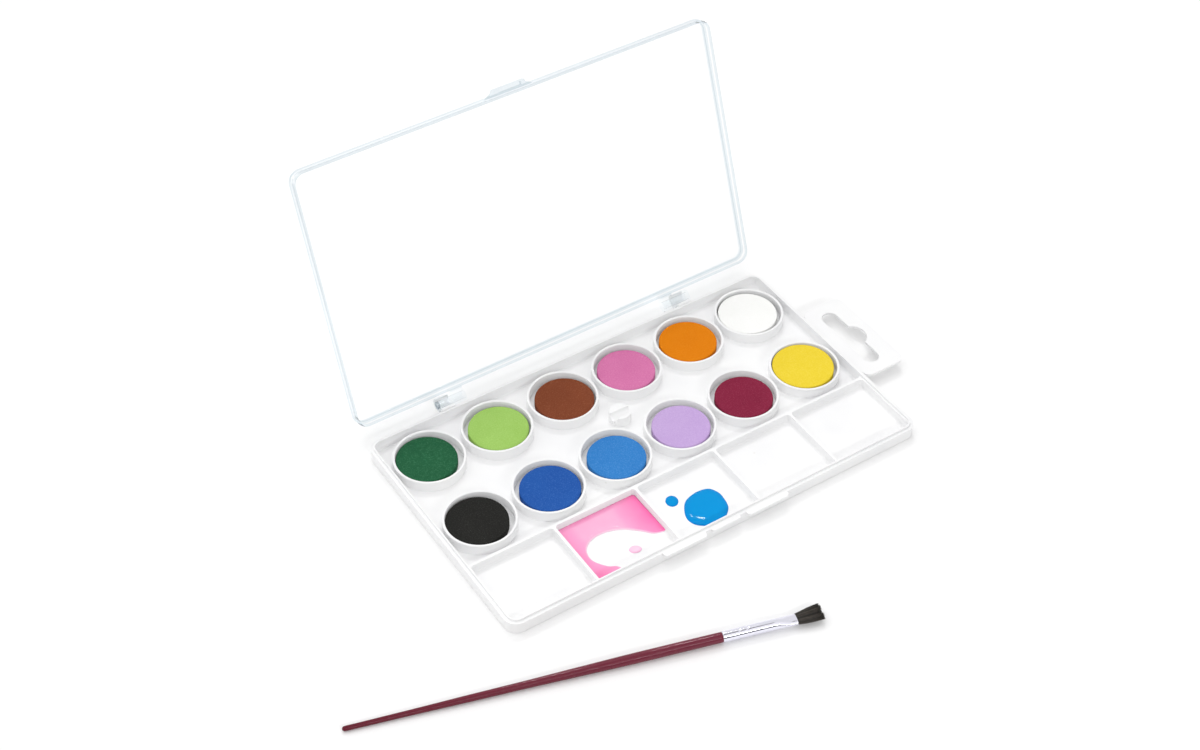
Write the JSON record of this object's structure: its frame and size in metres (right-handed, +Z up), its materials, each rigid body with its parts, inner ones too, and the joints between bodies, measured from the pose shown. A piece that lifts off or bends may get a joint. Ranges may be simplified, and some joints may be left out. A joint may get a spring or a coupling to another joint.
{
  "type": "watercolor paint box",
  "caption": "Flat paint box: white tray with round pans and mixing wells, clear snap-hinged lid standing open, hanging tab, and a flat brush lying in front.",
  "frame": {"origin": "centre of the tray's flat underside, on the table", "axes": "+X towards the hanging tab, +Y towards the hinge, +Z up"},
  "size_m": [0.2648, 0.201, 0.108],
  "materials": {
    "tray": "satin white polystyrene",
    "lid": "clear polystyrene, polished",
    "cake_dark_green": "pressed matte paint, dark green",
    "cake_light_green": "pressed matte paint, light green",
    "cake_brown": "pressed matte paint, brown",
    "cake_pink": "pressed matte paint, pink",
    "cake_orange": "pressed matte paint, orange",
    "cake_white": "pressed matte paint, white",
    "cake_black": "pressed matte paint, black",
    "cake_blue": "pressed matte paint, blue",
    "cake_light_blue": "pressed matte paint, light blue",
    "cake_lilac": "pressed matte paint, lilac",
    "cake_maroon": "pressed matte paint, maroon",
    "cake_yellow": "pressed matte paint, yellow",
    "pink_wet_paint": "wet thin paint",
    "blue_wet_paint": "wet paint",
    "brush_handle": "maroon lacquer",
    "brush_ferrule": "polished, crimped",
    "brush_bristles": "black hair"
  },
  "bodies": {
    "tray": {"tray": "tray", "cake_dark_green": "cake_dark_green", "cake_light_green": "cake_light_green", "cake_brown": "cake_brown", "cake_pink": "cake_pink", "cake_orange": "cake_orange", "cake_white": "cake_white", "cake_black": "cake_black", "cake_blue": "cake_blue", "cake_light_blue": "cake_light_blue", "cake_lilac": "cake_lilac", "cake_maroon": "cake_maroon", "cake_yellow": "cake_yellow", "pink_puddle": "pink_wet_paint", "pink_droplet": "pink_wet_paint", "blue_puddle": "blue_wet_paint", "blue_droplet": "blue_wet_paint"},
    "lid": {"lid": "lid"},
    "brush": {"brush_handle": "brush_handle", "brush_ferrule": "brush_ferrule", "brush_bristles": "brush_bristles"}
  },
  "joints": [
    {"name": "lid_hinge", "type": "hinge", "parent": "tray", "child": "lid", "pos_m": [0.0004, 0.055, 0.0051], "axis": [1, 0, 0], "range_deg": [-69.4, 110.55]},
    {"name": "brush_lift", "type": "slide", "parent": "tray", "child": "brush", "axis": [0, 0, 1], "range_m": [0, 0.12]}
  ]
}
